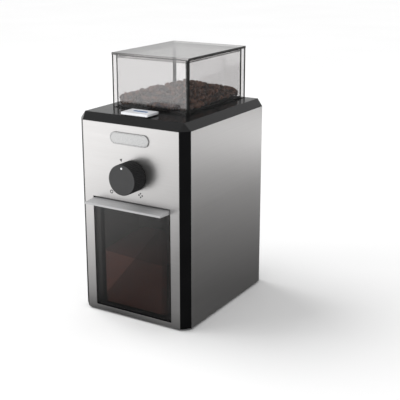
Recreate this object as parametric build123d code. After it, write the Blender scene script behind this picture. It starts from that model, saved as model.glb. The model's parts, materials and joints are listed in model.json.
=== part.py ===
from build123d import *
from math import atan2, cos, pi, radians, sin, sqrt, tan
import os

# Burr coffee grinder. Millimetres, +Z up, front towards -Y, resting on z = 0.
# The origin is under the middle of the whole object, ledge and knob included.

# ---- driving dimensions -------------------------------------------------
WIDTH = 128.0            # body, side to side
DEPTH = 160.0            # body, front to back
CORNER = 8.3             # 45 degree chamfer down each upright corner
FOOT_HEIGHT = 2.0        # rubber feet show this much below the body
STEEL_TOP = 199.4        # top edge of the steel sheets
TOP_FACE = 206.9         # flat top of the black cover
BEVEL_INSET = 6.6        # how far the cover's bevel leans in
SHEET = 0.8              # steel sheet
SHELL_WALL = 2.2         # plastic behind the sheets
COVER_WALL = 2.5
KNOB_PROUD = 19.0        # knob face in front of the front panel
KNOB_RADIUS = 15.2
KNOB_HEIGHT = 150.5      # selector axis above the table
AXIS_X = 3.5             # knob, burrs and motor stand a little right of the middle

BODY_Y = KNOB_PROUD / 2  # middle of the body, so that the whole object is centred
FRONT_Y = BODY_Y - DEPTH / 2
BACK_Y = BODY_Y + DEPTH / 2
BODY_BOTTOM = FOOT_HEIGHT
KNOB_FACE = FRONT_Y - KNOB_PROUD
KNOB_BACK = FRONT_Y - 0.6
KNOB_GRASP = 12.0        # length of shaft held inside the knob
SELECTOR_SHAFT = 3.0
INNER_X = WIDTH / 2 - SHEET - SHELL_WALL
INNER_FRONT = FRONT_Y + SHEET + SHELL_WALL
INNER_BACK = BACK_Y - SHEET - SHELL_WALL

# drawer opening in the front panel
OPENING_HALF = 45.5
OPENING_BOTTOM = 6.6
OPENING_TOP = 123.2

# ground coffee drawer
DRAWER_HALF = 44.9
DRAWER_BOTTOM = 8.0
DRAWER_TOP = 117.6
DRAWER_BACK = 7.5
FRONT_PLATE = 3.0
BIN_HALF = 39.2
BIN_WALL = 2.0
BIN_FLOOR = 11.0
GROUNDS_TOP = 64.0
LID_TOP = 121.9
LEDGE_PROUD = 15.4
LEDGE_HALF = 44.4
LEDGE_DROP = 0.9         # the ledge falls this much towards its front edge
LEDGE_EDGE = 2.2         # thickness of that edge

# bean hopper
HOPPER_WIDTH = 89.6
HOPPER_DEPTH = 114.0
HOPPER_Y = BODY_Y + 12.1
HOPPER_WALL = 3.0
HOPPER_TOP = 259.6
LID_PLATE = 2.4
LID_RIM = 3.0
COVER_LIP = 4.9          # the cover reaches this far in under the hopper's walls
HEAP_PEAK = (34.0, -31.8, 242.8)
HEAP_BACK = (34.0, 66.0, 221.0)
HEAP_BASE = TOP_FACE + 2.3
HEAP_LOWEST = HEAP_BASE + 4.0

# start button
BUTTON_X = 1.5
BUTTON_WIDTH = 31.0
BUTTON_FRONT = -64.5
BUTTON_BACK = -45.0
BUTTON_BOTTOM = 208.0
BUTTON_TOP = 210.4
STEM_Y = (BUTTON_FRONT + BUTTON_BACK) / 2
STEM_BOTTOM = 203.0
SWITCH_TOP = 194.0
SWITCH_BOTTOM = 183.0

# grinding unit
AXIS_Y = BODY_Y + 8.0
GEAR_MODULE = 1.0
DRIVE_TEETH = 64
PINION_TEETH = 12
RING_TEETH = 68
MOTOR_Y = AXIS_Y + GEAR_MODULE * (DRIVE_TEETH + PINION_TEETH) / 2
TOOTH_SLACK = 0.35       # taken off each tooth's thickness
GEAR_BOTTOM = 132.5
GEAR_TOP = 139.5
CHASSIS_BOTTOM = 127.0
CHASSIS_TOP = 130.0
CHAMBER_RADIUS = 29.5
CHAMBER_BORE = 27.0
CHAMBER_BOTTOM = 141.5
CHAMBER_FLOOR = 144.0
CHAMBER_TOP = 182.0
RING_PITCH_Z = KNOB_HEIGHT + GEAR_MODULE * PINION_TEETH / 2
RING_BOTTOM = RING_PITCH_Z + 1.0
RING_TOP = 172.0
RING_BORE = 29.8
RING_RADIUS = 35.0
RING_TOOTH_FROM = 32.5
RING_TOOTH_TO = 37.5
BURR_RADIUS = 24.0
BURR_BORE = 12.0
BURR_THICK = 5.0
BURR_GAP = 0.6
LOWER_BURR_Z = 163.0
UPPER_BURR_Z = LOWER_BURR_Z + BURR_THICK + BURR_GAP
UPPER_CARRIER_Z = UPPER_BURR_Z + BURR_THICK
TAB_ANGLES = (90, 210, 330)
RAMP_SLOPE = 0.45 / (radians(135 * PINION_TEETH / RING_TEETH) * 33.0)
SHAFT_RADIUS = 4.0
RUNNING = 0.05           # radial clearance of a shaft in its bush

# chute that drops the grounds into the drawer, front left of the burrs
CHUTE_ANGLE = 225
CHUTE_REACH = 41.5
CHUTE_WIDTH = 18.0
CHUTE_DEPTH = 12.0
CHUTE_X = AXIS_X + CHUTE_REACH * cos(radians(CHUTE_ANGLE))
CHUTE_Y = AXIS_Y + CHUTE_REACH * sin(radians(CHUTE_ANGLE))

# motor
MOTOR_RADIUS = 28.0
MOTOR_BOTTOM = 67.0
MOTOR_SHAFT = 2.5

# fasteners
SCREW_RADIUS = 1.5
SCREW_HEAD = 3.0
BOSS_LENGTH = 10.0
LOWER_BOSS_TOP = 20.0
PAD_HALF = 3.3           # screw pads under the cover
PAD_HEIGHT = 4.2
CORNER_SCREWS = [(x, y) for x in (-54.5, 54.5) for y in (FRONT_Y + 14, BACK_Y - 14)]
CHASSIS_SCREWS = [(x, y) for x in (-56.5, 56.5) for y in (BODY_Y - 30, BODY_Y + 45)]
FEET = [(x, y) for x in (-42.0, 42.0) for y in (FRONT_Y + 14.5, BACK_Y - 14.5)]
FOOT_RADIUS = 7.0
FOOT_SEAT = 1.5
BASE_THICK = 3.0

# cord inlet low on the back
INLET_X = 30.0
INLET_Z = 24.0
INLET_BORE = 3.6
INLET_RADIUS = 6.0


# ---- shape helpers --------------------------------------------------------
def block(x0, x1, y0, y1, z0, z1):
    """A box given by its lowest and highest corners."""
    return Pos((x0 + x1) / 2, (y0 + y1) / 2, (z0 + z1) / 2) * Box(x1 - x0, y1 - y0, z1 - z0)


def post(radius, z0, z1, x=AXIS_X, y=AXIS_Y):
    """An upright cylinder."""
    return Pos(x, y, (z0 + z1) / 2) * Cylinder(radius, z1 - z0)


def collar(radius, bore, z0, z1, x=AXIS_X, y=AXIS_Y):
    """An upright ring."""
    return post(radius, z0, z1, x, y) - post(bore, z0, z1, x, y)


def rod_y(radius, y0, y1, x, z):
    """A cylinder that lies front to back."""
    return Pos(x, (y0 + y1) / 2, z) * Rot(90, 0, 0) * Cylinder(radius, y1 - y0)


def front_plane(y):
    """Drawing plane seen from the front: x to the right, z up, thickness towards the front."""
    return Plane(origin=(0, y, 0), x_dir=(1, 0, 0), z_dir=(0, -1, 0))


def column(inset, z0, z1):
    """The body's eight-sided column, drawn in by an inset."""
    half_x = WIDTH / 2 - inset
    half_y = DEPTH / 2 - inset
    cut = CORNER - inset * (2 - sqrt(2))
    corners = []
    for sx, sy in ((1, 1), (-1, 1), (-1, -1), (1, -1)):
        pair = [(sx * half_x, sy * (half_y - cut)), (sx * (half_x - cut), sy * half_y)]
        corners += pair if sx * sy > 0 else pair[::-1]
    outline = make_face(Polyline(*[(x, y + BODY_Y, z0) for x, y in corners], close=True))
    return extrude(outline, amount=z1 - z0, dir=(0, 0, 1))


def gear_outline(teeth, module, slack, turn=0.0):
    """Involute spur gear outline as points about the origin; a tooth points along +X at turn 0."""
    pitch = module * teeth / 2
    base = pitch * cos(radians(20))
    root = pitch - 1.15 * module
    tip = pitch + 0.8 * module
    half = (pi * module / 2 - slack) / (2 * pitch)
    start = max(base, root)
    radii = [start + (tip - start) * k / 3 for k in range(4)]
    flank = [(r, half + involute(base, pitch) - involute(base, r)) for r in radii]
    if root < base:
        flank.insert(0, (root, flank[0][1]))
    points = []
    for tooth in range(teeth):
        middle = radians(turn) + 2 * pi * tooth / teeth
        points += [(r * cos(middle - a), r * sin(middle - a)) for r, a in flank]
        points += [(r * cos(middle + a), r * sin(middle + a)) for r, a in reversed(flank)]
    return points


def involute(base, radius):
    """Angle an involute has turned through by the time it reaches a radius."""
    pressure = atan2(sqrt(max(radius * radius - base * base, 0.0)), base)
    return tan(pressure) - pressure


def spur_gear(teeth, slack, turn, z0, z1, bore, x, y):
    """A spur gear on an upright axis."""
    outline = make_face(Polyline(*gear_outline(teeth, GEAR_MODULE, slack, turn), close=True))
    return Pos(x, y, z0) * extrude(outline, amount=z1 - z0) - post(bore, z0, z1, x, y)


def spokes(shape, count, start=0.0, x=AXIS_X, y=AXIS_Y):
    """Copies of a shape drawn about the origin, turned round an upright axis."""
    return [Pos(x, y, 0) * Rot(0, 0, start + 360 * k / count) * shape for k in range(count)]


def screw(x, y, z_head, z_tip, head_thick=1.6):
    """A pan head screw, its head at z_head and its point at z_tip."""
    step = head_thick if z_tip > z_head else -head_thick
    low_head, high_head = sorted((z_head, z_head + step))
    low_shank, high_shank = sorted((z_head + step, z_tip))
    return post(SCREW_HEAD, low_head, high_head, x, y) + post(SCREW_RADIUS, low_shank, high_shank, x, y)


# ---- casing ---------------------------------------------------------------
def base_plate():
    plate = column(SHEET + SHELL_WALL + 0.3, BODY_BOTTOM, BODY_BOTTOM + BASE_THICK)
    for x, y in FEET:
        plate -= post(FOOT_RADIUS, BODY_BOTTOM, BODY_BOTTOM + FOOT_SEAT, x, y)
    for x, y in CORNER_SCREWS:
        plate -= post(SCREW_HEAD + 0.3, BODY_BOTTOM, BODY_BOTTOM + 1.8, x, y)
        plate -= post(SCREW_RADIUS, BODY_BOTTOM, BODY_BOTTOM + BASE_THICK, x, y)
    for k in range(7):
        y = MOTOR_Y - 18 + 6 * k
        plate -= block(-18, 18, y - 1.25, y + 1.25, BODY_BOTTOM, BODY_BOTTOM + BASE_THICK)
    return plate


def foot(x, y):
    pad = post(FOOT_RADIUS, 0, BODY_BOTTOM + FOOT_SEAT, x, y)
    return chamfer(pad.edges().group_by(Axis.Z)[0], 0.6)


def corner_boss(x, y, z0, z1):
    """A screw boss tied to the nearest side wall by a rib."""
    wall_x = (INNER_X + 0.3) * (1 if x > 0 else -1)
    rib = block(min(x, wall_x), max(x, wall_x), y - 1.5, y + 1.5, z0, z1)
    return post(4.0, z0, z1, x, y) + rib


def housing_shell():
    """The whole inner housing, which the four frames below are cut from."""
    shell = column(0, BODY_BOTTOM, STEEL_TOP) - column(SHEET + SHELL_WALL, BODY_BOTTOM, STEEL_TOP)
    flat_x = WIDTH / 2 - CORNER
    flat_y = DEPTH / 2 - CORNER
    for sign in (-1, 1):
        x_face = sign * WIDTH / 2
        x0, x1 = sorted((x_face, x_face - sign * SHEET))
        shell -= block(x0, x1, BODY_Y - flat_y, BODY_Y + flat_y, BODY_BOTTOM, STEEL_TOP)
        y_face = BODY_Y + sign * DEPTH / 2
        y0, y1 = sorted((y_face, y_face - sign * SHEET))
        shell -= block(-flat_x, flat_x, y0, y1, BODY_BOTTOM, STEEL_TOP)
    for x, y in CORNER_SCREWS:
        shell += corner_boss(x, y, BODY_BOTTOM + BASE_THICK, LOWER_BOSS_TOP)
        shell += corner_boss(x, y, STEEL_TOP - BOSS_LENGTH, STEEL_TOP)
        shell -= post(SCREW_RADIUS, BODY_BOTTOM, LOWER_BOSS_TOP - 2, x, y)
        shell -= post(SCREW_RADIUS, STEEL_TOP - BOSS_LENGTH, STEEL_TOP, x, y)
    for x, y in CHASSIS_SCREWS:
        shell += corner_boss(x, y, CHASSIS_BOTTOM - BOSS_LENGTH, CHASSIS_BOTTOM)
        shell -= post(SCREW_RADIUS, CHASSIS_BOTTOM - BOSS_LENGTH, CHASSIS_BOTTOM, x, y)
    front_cut = (FRONT_Y, INNER_FRONT + 0.1)
    shell -= block(-OPENING_HALF, OPENING_HALF, *front_cut, OPENING_BOTTOM, OPENING_TOP)
    shell -= rod_y(6.5, *front_cut, AXIS_X, KNOB_HEIGHT)
    shell -= rod_y(INLET_RADIUS, INNER_BACK - 0.1, BACK_Y, INLET_X, INLET_Z)
    return shell - rear_vents()


def housing_frames():
    """Front and rear frames carry the sloped corners, and the side frames stand between them."""
    shell = housing_shell()
    heights = (BODY_BOTTOM, STEEL_TOP)
    front_end = FRONT_Y + CORNER
    rear_end = BACK_Y - CORNER
    half = WIDTH / 2
    return {
        "front_frame": shell & block(-half, half, FRONT_Y, front_end, *heights),
        "rear_frame": shell & block(-half, half, rear_end, BACK_Y, *heights),
        "side_frame_left": shell & block(-half, 0, front_end, rear_end, *heights),
        "side_frame_right": shell & block(0, half, front_end, rear_end, *heights),
    }


def rear_vents():
    """Cooling slots behind the motor, cut through the back wall and its panel."""
    slots = []
    for k in range(8):
        z = 60 + 8 * k
        slots.append(block(-26, 33, INNER_BACK - 0.1, BACK_Y, z - 1.5, z + 1.5))
    return slots


def front_panel():
    flat_x = WIDTH / 2 - CORNER
    sheet = block(-flat_x, flat_x, FRONT_Y, FRONT_Y + SHEET, BODY_BOTTOM, STEEL_TOP)
    window = block(-OPENING_HALF, OPENING_HALF, FRONT_Y, FRONT_Y + SHEET, OPENING_BOTTOM, OPENING_TOP)
    return sheet - window - rod_y(8.0, FRONT_Y, FRONT_Y + SHEET, AXIS_X, KNOB_HEIGHT)


def side_panel(sign):
    flat_y = DEPTH / 2 - CORNER
    x0, x1 = sorted((sign * WIDTH / 2, sign * (WIDTH / 2 - SHEET)))
    return block(x0, x1, BODY_Y - flat_y, BODY_Y + flat_y, BODY_BOTTOM, STEEL_TOP)


def rear_panel():
    flat_x = WIDTH / 2 - CORNER
    sheet = block(-flat_x, flat_x, BACK_Y - SHEET, BACK_Y, BODY_BOTTOM, STEEL_TOP)
    return sheet - rod_y(INLET_RADIUS, BACK_Y - SHEET, BACK_Y, INLET_X, INLET_Z) - rear_vents()


def bevelled_cap(inset, z0, z1):
    """The cover's outer form: a block with a bevel all round and its corners sliced off."""
    half_x = WIDTH / 2 - inset
    half_y = DEPTH / 2 - inset
    bottom = Pos(0, BODY_Y, z0) * Rectangle(2 * half_x, 2 * half_y)
    top = Pos(0, BODY_Y, z1) * Rectangle(2 * (half_x - BEVEL_INSET), 2 * (half_y - BEVEL_INSET))
    cap = loft([bottom, top])
    rise = z1 - z0
    half_cut = CORNER / 2
    lean = BEVEL_INSET - half_cut
    for sx in (-1, 1):
        for sy in (-1, 1):
            middle = (sx * (half_x - half_cut), BODY_Y + sy * (half_y - half_cut), z0)
            outward = (sx * rise, sy * rise, 2 * lean)
            cap = split(cap, bisect_by=Plane(origin=middle, z_dir=outward), keep=Keep.BOTTOM)
    return cap


def top_cover():
    cover = bevelled_cap(0, STEEL_TOP, TOP_FACE)
    cover -= bevelled_cap(COVER_WALL, STEEL_TOP, TOP_FACE - COVER_WALL)
    for x, y in CORNER_SCREWS:
        pad_top = STEEL_TOP + PAD_HEIGHT
        cover += block(x - PAD_HALF, x + PAD_HALF, y - PAD_HALF, y + PAD_HALF, STEEL_TOP, pad_top)
        cover -= post(SCREW_RADIUS, STEEL_TOP, pad_top - 0.6, x, y)
    cover -= hopper_box(COVER_LIP, STEEL_TOP, TOP_FACE)
    for tab in hopper_tabs(0.3):
        cover -= tab
    cover -= block(BUTTON_X - 6.3, BUTTON_X + 6.3, STEM_Y - 4.3, STEM_Y + 4.3, STEEL_TOP, TOP_FACE)
    return cover


def badge_plate():
    outline = SlotOverall(45, 12)
    rim = SlotOverall(42.6, 9.6)
    place = Pos(0, 186.0)
    plate = extrude(front_plane(FRONT_Y) * place * outline, amount=1.3)
    return plate - extrude(front_plane(FRONT_Y - 0.9) * place * rim, amount=1.0)


# ---- bean hopper ------------------------------------------------------------
def hopper_tabs(slack):
    """Snap tabs under the hopper's side walls; slack widens them into slots."""
    tabs = []
    for sx in (-1, 1):
        for dy in (-30, 30):
            x_wall = sx * (HOPPER_WIDTH / 2 - HOPPER_WALL / 2)
            y = HOPPER_Y + dy
            half = 1.1 + slack
            low = TOP_FACE - 4.0 - slack
            tabs.append(block(x_wall - half, x_wall + half, y - 5 - slack, y + 5 + slack, low, TOP_FACE))
    return tabs


def hopper_box(inset, z0, z1):
    half_x = HOPPER_WIDTH / 2 - inset
    half_y = HOPPER_DEPTH / 2 - inset
    return block(-half_x, half_x, HOPPER_Y - half_y, HOPPER_Y + half_y, z0, z1)


def bean_hopper():
    walls = hopper_box(0, TOP_FACE, HOPPER_TOP) - hopper_box(HOPPER_WALL, TOP_FACE, HOPPER_TOP)
    for tab in hopper_tabs(0):
        walls += tab
    return walls


def funnel_form(wall):
    """Tapering body of the funnel; wall draws it in."""
    wide = Rectangle(HOPPER_WIDTH - 10.6 - 2 * wall, HOPPER_DEPTH - 11 - 2 * wall)
    narrow = Rectangle(28 - 2 * wall, 28 - 2 * wall)
    return loft([Pos(0, HOPPER_Y, TOP_FACE) * wide, Pos(AXIS_X, AXIS_Y, 188) * narrow])


def hopper_funnel():
    rim = hopper_box(HOPPER_WALL + 0.3, TOP_FACE, TOP_FACE + 2)
    throat = Pos(AXIS_X, AXIS_Y, 184) * Box(28, 28, 8)
    funnel = rim + funnel_form(0) + throat
    mouth = hopper_box(7.3, TOP_FACE, TOP_FACE + 2)
    bore = Pos(AXIS_X, AXIS_Y, 184) * Box(24, 24, 8)
    return funnel - mouth - funnel_form(2.0) - bore


def hopper_lid():
    plate = hopper_box(0, HOPPER_TOP, HOPPER_TOP + LID_PLATE)
    rim = hopper_box(HOPPER_WALL + 0.5, HOPPER_TOP - LID_RIM, HOPPER_TOP)
    hollow = hopper_box(HOPPER_WALL + 2.3, HOPPER_TOP - LID_RIM, HOPPER_TOP)
    return plate + (rim - hollow)


def coffee_beans():
    """Heap of beans, high at the front right, low at the left and the back."""
    heap = hopper_box(HOPPER_WALL + 0.6, HEAP_BASE, HEAP_PEAK[2])
    for origin, outward in (
        (HEAP_PEAK, (-0.29, 0.216, 1)),
        (HEAP_PEAK, (0.10, 0.216, 1)),
        (HEAP_BACK, (0, 1.3, 1)),
    ):
        heap = split(heap, bisect_by=Plane(origin=origin, z_dir=outward), keep=Keep.BOTTOM)
    return heap + hopper_box(HOPPER_WALL + 0.6, HEAP_BASE, HEAP_LOWEST)


# ---- drawer for the grounds -------------------------------------------------
def grounds_container():
    plate_back = FRONT_Y + FRONT_PLATE
    plate = block(-DRAWER_HALF, DRAWER_HALF, FRONT_Y, plate_back, DRAWER_BOTTOM, DRAWER_TOP)
    plate = chamfer(plate.edges().filter_by(Axis.Z).group_by(Axis.Y)[0], 0.5)
    outer = block(-BIN_HALF, BIN_HALF, plate_back - 0.5, DRAWER_BACK, DRAWER_BOTTOM + 0.4, DRAWER_TOP)
    inner_half = BIN_HALF - BIN_WALL
    inner = block(-inner_half, inner_half, plate_back, DRAWER_BACK - BIN_WALL, BIN_FLOOR, DRAWER_TOP)
    inner = fillet(inner.edges().filter_by(Axis.Z), 4)
    return plate + outer - inner


def container_lid():
    front = FRONT_Y - LEDGE_PROUD
    underside = DRAWER_TOP + 0.4
    profile = Polyline(
        (front, LID_TOP - LEDGE_DROP),
        (FRONT_Y, LID_TOP),
        (DRAWER_BACK, LID_TOP),
        (DRAWER_BACK, underside),
        (FRONT_Y - 1.0, underside),
        (front + 2.0, LID_TOP - LEDGE_DROP - LEDGE_EDGE),
        (front, LID_TOP - LEDGE_DROP - LEDGE_EDGE),
        close=True,
    )
    side = Plane(origin=(-LEDGE_HALF, 0, 0), x_dir=(0, 1, 0), z_dir=(1, 0, 0))
    lid = extrude(side * make_face(profile), amount=2 * LEDGE_HALF)
    rim_half = BIN_HALF - BIN_WALL - 0.4
    rim_y = (FRONT_Y + FRONT_PLATE + 0.4, DRAWER_BACK - BIN_WALL - 0.4)
    rim = block(-rim_half, rim_half, *rim_y, underside - 3, underside)
    rim = fillet(rim.edges().filter_by(Axis.Z), 4)
    well = block(-rim_half + 2, rim_half - 2, rim_y[0] + 2, rim_y[1] - 2, underside - 3, underside)
    lid += rim - well
    return lid - post(8.0, underside - 3, LID_TOP, CHUTE_X, CHUTE_Y)


def ground_coffee():
    half = BIN_HALF - BIN_WALL - 0.3
    y_range = (FRONT_Y + FRONT_PLATE + 0.3, DRAWER_BACK - BIN_WALL - 0.3)
    heap = block(-half, half, *y_range, BIN_FLOOR + 0.3, GROUNDS_TOP + 6)
    heap = fillet(heap.edges().filter_by(Axis.Z), 4)
    crest = Plane(origin=(0, FRONT_Y, GROUNDS_TOP), z_dir=(0.05, -0.08, 1))
    return split(heap, bisect_by=crest, keep=Keep.BOTTOM)


def container_bay():
    y_front = INNER_FRONT + 0.1
    bay = block(-48.3, 48.3, y_front, 11.0, BODY_BOTTOM + BASE_THICK + 0.1, 125.5)
    bay -= block(-46.0, 46.0, y_front, 8.8, 7.5, OPENING_TOP)
    bay -= block(-28, -22, 8.8, 11.0, 98, 104)
    return bay - chute_box(0.4, OPENING_TOP, 125.5)


# ---- start button -----------------------------------------------------------
def start_button():
    slab = block(BUTTON_X - BUTTON_WIDTH / 2, BUTTON_X + BUTTON_WIDTH / 2, BUTTON_FRONT, BUTTON_BACK,
                 BUTTON_BOTTOM, BUTTON_TOP)
    slab = fillet(slab.edges().filter_by(Axis.Z), 0.8)
    stem = block(BUTTON_X - 6, BUTTON_X + 6, STEM_Y - 4, STEM_Y + 4, STEM_BOTTOM, BUTTON_BOTTOM)
    pin = post(1.5, SWITCH_TOP, STEM_BOTTOM, BUTTON_X, STEM_Y)
    return slab + stem + pin - window_block(BUTTON_TOP - 0.8)


def window_block(z0):
    y = STEM_Y + 1.8
    return block(BUTTON_X - 8.2, BUTTON_X + 8.2, y - 2.1, y + 2.1, z0, BUTTON_TOP)


def button_window():
    return window_block(BUTTON_TOP - 0.8)


def button_spring():
    wire = 0.5
    radius = 3.0
    low, high = SWITCH_TOP + wire / 2, STEM_BOTTOM - wire / 2
    path = Helix(pitch=(high - low) / 4.5, height=high - low, radius=radius)
    section = Plane(origin=path @ 0, z_dir=path % 0) * Circle(wire / 2)
    return Pos(BUTTON_X, STEM_Y, low) * sweep(section, path=path, is_frenet=True)


def start_switch():
    shelf_bottom = SWITCH_TOP - 1.8
    body = block(BUTTON_X - 10, BUTTON_X + 10, STEM_Y - 4, STEM_Y + 4, SWITCH_BOTTOM, shelf_bottom)
    shelf = block(BUTTON_X - 12, BUTTON_X + 12, INNER_FRONT, STEM_Y + 7, shelf_bottom, SWITCH_TOP)
    shelf -= post(2.0, shelf_bottom, SWITCH_TOP, BUTTON_X, STEM_Y)
    for dx in (-6, 0, 6):
        x = BUTTON_X + dx
        body += block(x - 0.4, x + 0.4, STEM_Y - 1.5, STEM_Y + 1.5, SWITCH_BOTTOM - 6, SWITCH_BOTTOM)
    return shelf + body


# ---- fineness selector --------------------------------------------------------
def selector_knob():
    outline = Circle(KNOB_RADIUS) - PolarLocations(KNOB_RADIUS + 0.25, 48) * Circle(0.55)
    place = Pos(AXIS_X, KNOB_HEIGHT)
    smooth = 1.6
    grip = extrude(front_plane(KNOB_BACK) * place * outline, amount=KNOB_BACK - KNOB_FACE - smooth)
    cap = rod_y(KNOB_RADIUS - 0.15, KNOB_FACE, KNOB_FACE + smooth, AXIS_X, KNOB_HEIGHT)
    cap = chamfer(cap.edges().group_by(Axis.Y)[0], 0.5)
    knob = grip + cap
    knob -= rod_y(KNOB_RADIUS - 2.5, KNOB_BACK - 9, KNOB_BACK, AXIS_X, KNOB_HEIGHT)
    knob += rod_y(6.0, KNOB_BACK - 9.2, KNOB_BACK, AXIS_X, KNOB_HEIGHT)
    knob -= rod_y(SELECTOR_SHAFT, KNOB_BACK - KNOB_GRASP, KNOB_BACK, AXIS_X, KNOB_HEIGHT)
    return knob - knob_indicator()


def knob_indicator():
    return rod_y(1.1, KNOB_FACE, KNOB_FACE + 0.8, AXIS_X, KNOB_HEIGHT + 11.5)


def selector_shaft():
    inner_end = AXIS_Y - RING_TOOTH_FROM - 0.2
    return rod_y(SELECTOR_SHAFT, KNOB_BACK - KNOB_GRASP, inner_end, AXIS_X, KNOB_HEIGHT)


def selector_pinion():
    outline = make_face(Polyline(*gear_outline(PINION_TEETH, GEAR_MODULE, 0.5, 90), close=True))
    place = Pos(AXIS_X, KNOB_HEIGHT)
    front_end = AXIS_Y - RING_TOOTH_TO
    back_end = AXIS_Y - RING_TOOTH_FROM
    wheel = extrude(front_plane(back_end) * place * outline, amount=back_end - front_end)
    wheel += rod_y(4.6, front_end - 2.5, front_end, AXIS_X, KNOB_HEIGHT)
    return wheel - rod_y(SELECTOR_SHAFT, front_end - 2.5, back_end - 0.2, AXIS_X, KNOB_HEIGHT)


def selector_bush():
    flange = rod_y(7.6, FRONT_Y - 0.4, FRONT_Y + SHEET, AXIS_X, KNOB_HEIGHT)
    barrel = rod_y(6.5, FRONT_Y + SHEET, INNER_FRONT + 5, AXIS_X, KNOB_HEIGHT)
    bore = rod_y(SELECTOR_SHAFT + RUNNING, FRONT_Y - 0.4, INNER_FRONT + 5, AXIS_X, KNOB_HEIGHT)
    return flange + barrel - bore


def selector_bracket():
    y0, y1 = -30.0, -27.0
    web = block(AXIS_X - 8, AXIS_X + 8, y0, y1, CHASSIS_TOP, KNOB_HEIGHT)
    eye = rod_y(8.0, y0, y1, AXIS_X, KNOB_HEIGHT)
    foot_plate = block(AXIS_X - 8, AXIS_X + 8, y0 - 8, y1, CHASSIS_TOP, CHASSIS_TOP + 2.5)
    return web + eye + foot_plate - rod_y(SELECTOR_SHAFT + RUNNING, y0, y1, AXIS_X, KNOB_HEIGHT)


def adjusting_ring():
    body = collar(RING_RADIUS, RING_BORE, RING_BOTTOM, RING_TOP)
    body += collar(RING_TOOTH_TO + 0.8, RING_BORE, RING_BOTTOM, RING_BOTTOM + 4)
    step = 360 / RING_TEETH
    tip_z = RING_PITCH_Z - 0.8
    profile = Polyline((-0.3, tip_z), (0.3, tip_z), (0.72, RING_BOTTOM + 0.2), (-0.72, RING_BOTTOM + 0.2),
                       close=True)
    plane = Plane(origin=(0, -RING_TOOTH_FROM, 0), x_dir=(1, 0, 0), z_dir=(0, -1, 0))
    tooth = extrude(plane * make_face(profile), amount=RING_TOOTH_TO - RING_TOOTH_FROM)
    for k in range(-8, 8):
        body += Pos(AXIS_X, AXIS_Y, 0) * Rot(0, 0, (k + 0.5) * step) * tooth
    ramps = spokes(ring_ramp(), len(TAB_ANGLES), TAB_ANGLES[0])
    for ramp in ramps:
        body += ramp
    return body


def ring_ramp():
    """One of the cams that carry the upper burr, drawn on the +X side of the axis."""
    crown = UPPER_CARRIER_Z - 0.35
    sector = collar(RING_RADIUS - 0.4, RING_BORE + 0.4, RING_TOP - 0.5, crown + 0.9, 0, 0)
    sector &= block(20, 40, -17, 17, RING_TOP - 0.5, crown + 0.9)
    slope = Plane(origin=(33, 0, crown), z_dir=(0, RAMP_SLOPE, 1))
    return split(sector, bisect_by=slope, keep=Keep.BOTTOM)


# ---- burrs and chamber --------------------------------------------------------
def burr(z0, teeth_up):
    """A flat burr ring with slanting cutting grooves and three countersunk screw holes."""
    ring = collar(BURR_RADIUS, BURR_BORE, z0, z0 + BURR_THICK)
    face = z0 + BURR_THICK if teeth_up else z0
    groove = Pos(17.5, 0, face) * Rot(0, 0, 24) * Rot(45, 0, 0) * Box(19, 1.7, 1.7)
    ring -= spokes(groove, 18)
    hole = Pos(18, 0, z0 + BURR_THICK / 2) * Cylinder(1.6, BURR_THICK)
    return ring - spokes(hole, 3, 10)


def lower_burr():
    return burr(LOWER_BURR_Z, True)


def upper_burr():
    return burr(UPPER_BURR_Z, False)


def upper_burr_carrier():
    plate = collar(CHAMBER_BORE - 0.3, BURR_BORE + 1, UPPER_CARRIER_Z, UPPER_CARRIER_Z + 4.4)
    tab = block(CHAMBER_BORE - 3, RING_RADIUS, -4, 4, UPPER_CARRIER_Z, UPPER_CARRIER_Z + 4.4)
    return plate + spokes(tab, len(TAB_ANGLES), TAB_ANGLES[0])


def burr_carrier():
    """Rotating carrier under the lower burr, with paddles that sweep the chamber floor."""
    carrier = post(BURR_RADIUS + 1.5, LOWER_BURR_Z - 5, LOWER_BURR_Z)
    carrier += post(9.0, CHAMBER_FLOOR + 2.2, LOWER_BURR_Z)
    paddle = block(7, 25.5, -1.5, 1.5, CHAMBER_FLOOR + 2.2, LOWER_BURR_Z - 4)
    carrier += spokes(paddle, 3, 45)
    return carrier - post(SHAFT_RADIUS, CHAMBER_FLOOR, LOWER_BURR_Z)


def burr_shaft():
    return post(SHAFT_RADIUS, CHASSIS_BOTTOM - 1, LOWER_BURR_Z + 5.5)


def burr_nut():
    hexagon = RegularPolygon(radius=6.5, side_count=6)
    nut = Pos(AXIS_X, AXIS_Y, LOWER_BURR_Z) * extrude(hexagon, amount=4.5)
    return nut - post(SHAFT_RADIUS, LOWER_BURR_Z, LOWER_BURR_Z + 4.5)


def bearing(z0, z1, bore, radius, x, y):
    return collar(radius, bore + RUNNING, z0, z1, x, y)


def drive_gear():
    gear = spur_gear(DRIVE_TEETH, TOOTH_SLACK, 90, GEAR_BOTTOM, GEAR_TOP, SHAFT_RADIUS, AXIS_X, AXIS_Y)
    pocket = collar(27.5, 9.5, GEAR_TOP - 2, GEAR_TOP)
    hole = Pos(18.5, 0, GEAR_BOTTOM + 2.5) * Cylinder(5.0, 5)
    return gear - pocket - spokes(hole, 6, 30)


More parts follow.
